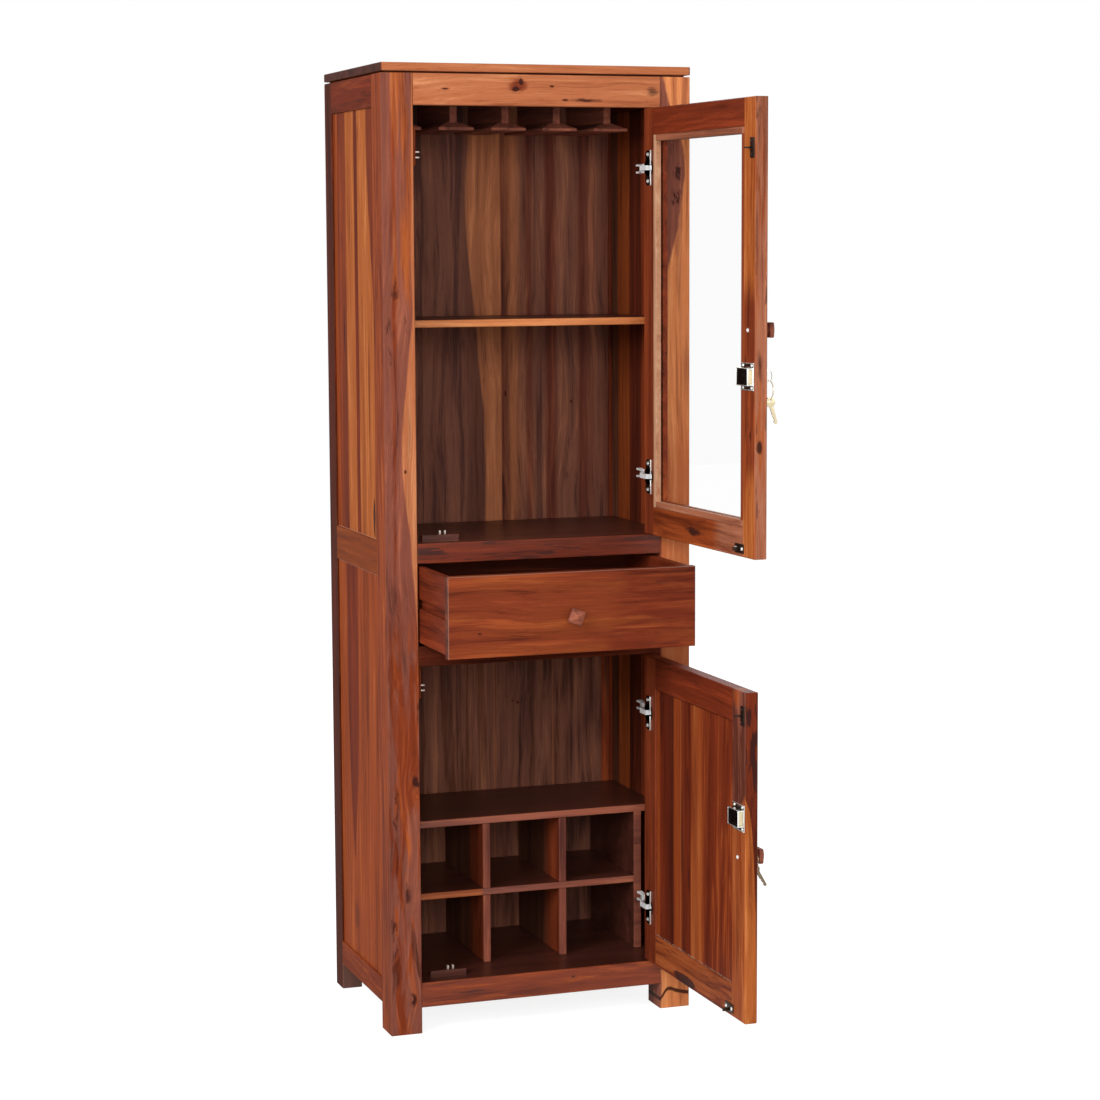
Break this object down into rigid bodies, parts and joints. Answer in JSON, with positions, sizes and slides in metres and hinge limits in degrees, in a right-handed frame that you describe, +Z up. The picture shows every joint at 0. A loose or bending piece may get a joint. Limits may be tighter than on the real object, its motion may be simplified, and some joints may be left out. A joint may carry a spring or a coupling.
{
  "type": "bar armoire",
  "caption": "Tall wooden bar armoire with a framed glass door, hanging stemware rails, a shelf, a drawer, and a panelled door over a bottle rack; doors, drawer, bolts and keys move.",
  "frame": {"origin": "on the floor, under the middle of the bounding box of the whole piece with both doors and the drawer open as at rest", "axes": "+X to the right seen from the front, +Y from the front to the back, +Z up"},
  "size_m": [0.61, 0.8876, 1.829],
  "materials": {
    "honey_wood": "satin lacquer",
    "red_wood": "satin lacquer",
    "dark_wood": "satin lacquer",
    "raw_wood": "unfinished",
    "glass": "clear",
    "chrome": "polished",
    "brass": "satin"
  },
  "bodies": {
    "cabinet": {"front_left_leg": "honey_wood", "front_right_leg": "honey_wood", "top_slab": "honey_wood", "front_top_rail": "honey_wood", "rear_left_leg": "red_wood", "rear_right_leg": "red_wood", "left_top_rail": "red_wood", "right_top_rail": "red_wood", "left_bottom_rail": "red_wood", "right_bottom_rail": "red_wood", "left_side_panel": "red_wood", "right_side_panel": "red_wood", "back_panel": "red_wood", "back_bottom_rail": "red_wood", "rack_left_divider": "red_wood", "rack_right_divider": "red_wood", "stem_rail_1": "red_wood", "stem_rail_2": "red_wood", "stem_rail_3": "red_wood", "stem_rail_4": "red_wood", "stem_rail_5": "red_wood", "sub_top": "dark_wood", "display_floor": "dark_wood", "drawer_deck": "dark_wood", "bottom_board": "dark_wood", "display_shelf": "dark_wood", "rack_top": "dark_wood", "rack_shelf": "dark_wood", "upper_top_hinge_arm": "chrome", "upper_bottom_hinge_arm": "chrome", "lower_top_hinge_arm": "chrome", "lower_bottom_hinge_arm": "chrome"},
    "upper_door": {"upper_door_frame": "honey_wood", "upper_knob": "red_wood", "upper_door_bead": "raw_wood", "upper_door_glass": "glass", "upper_top_hinge_cup": "chrome", "upper_bottom_hinge_cup": "chrome", "upper_lock": "chrome"},
    "upper_links": {"upper_top_hinge_link": "chrome", "upper_bottom_hinge_link": "chrome"},
    "lower_door": {"lower_door_frame": "honey_wood", "lower_door_panel": "red_wood", "lower_knob": "red_wood", "lower_top_hinge_cup": "chrome", "lower_bottom_hinge_cup": "chrome", "lower_lock": "chrome"},
    "lower_links": {"lower_top_hinge_link": "chrome", "lower_bottom_hinge_link": "chrome"},
    "drawer": {"drawer_front": "honey_wood", "drawer_left_side": "red_wood", "drawer_right_side": "red_wood", "drawer_back": "red_wood", "drawer_knob": "red_wood", "drawer_bottom": "dark_wood"},
    "upper_key": {"upper_key": "brass"},
    "upper_bolt": {"upper_bolt": "brass"},
    "upper_key_ring": {"upper_spare_key": "brass"},
    "lower_bolt": {"lower_bolt": "brass"},
    "lower_key": {"lower_key": "brass"}
  },
  "joints": [
    {"name": "upper_door_hinge", "type": "hinge", "parent": "cabinet", "child": "upper_door", "pos_m": [0.238, 0.03709, 1.346], "axis": [0, 0, 1], "range_deg": [-92.2, 3]},
    {"name": "upper_link_turn", "type": "hinge", "parent": "upper_door", "child": "upper_links", "pos_m": [0.21778, 0.0163, 1.346], "axis": [0, 0, 1], "range_deg": [-3.2, 92.4]},
    {"name": "lower_door_hinge", "type": "hinge", "parent": "cabinet", "child": "lower_door", "pos_m": [0.238, 0.03709, 0.404], "axis": [0, 0, 1], "range_deg": [-90.4, 4.6]},
    {"name": "lower_link_turn", "type": "hinge", "parent": "lower_door", "child": "lower_links", "pos_m": [0.21714, 0.01695, 0.404], "axis": [0, 0, 1], "range_deg": [-4.8, 90.6]},
    {"name": "drawer_slide", "type": "slide", "parent": "cabinet", "child": "drawer", "axis": [0, -1, 0], "range_m": [-0.184, 0.066]},
    {"name": "upper_key_turn", "type": "hinge", "parent": "upper_door", "child": "upper_key", "pos_m": [0.25443, -0.41661, 1.264], "axis": [0.9993, 0.0384, 0], "range_deg": [0, 90]},
    {"name": "upper_bolt_slide", "type": "slide", "parent": "upper_door", "child": "upper_bolt", "axis": [0.0384, -0.9993, 0], "range_m": [0, 0.01]},
    {"name": "upper_ring_swing", "type": "hinge", "parent": "upper_key", "child": "upper_key_ring", "pos_m": [0.27047, -0.416, 1.2535], "axis": [0.9993, 0.0384, 0], "range_deg": [-91, 1]},
    {"name": "lower_bolt_slide", "type": "slide", "parent": "lower_door", "child": "lower_bolt", "axis": [0.007, -1, 0], "range_m": [0, 0.01]},
    {"name": "lower_key_swing", "type": "hinge", "parent": "lower_door", "child": "lower_key", "pos_m": [0.24513, -0.41087, 0.403], "axis": [1, 0.007, 0], "range_deg": [-35, 35]}
  ],
  "couplings": [
    {"joint": "upper_link_turn", "follows": "upper_door_hinge", "ratio": -1},
    {"joint": "lower_link_turn", "follows": "lower_door_hinge", "ratio": -1},
    {"joint": "upper_key_turn", "follows": "upper_bolt_slide", "rad_per_m": 157.07},
    {"joint": "upper_ring_swing", "follows": "upper_bolt_slide", "rad_per_m": -157.07}
  ]
}
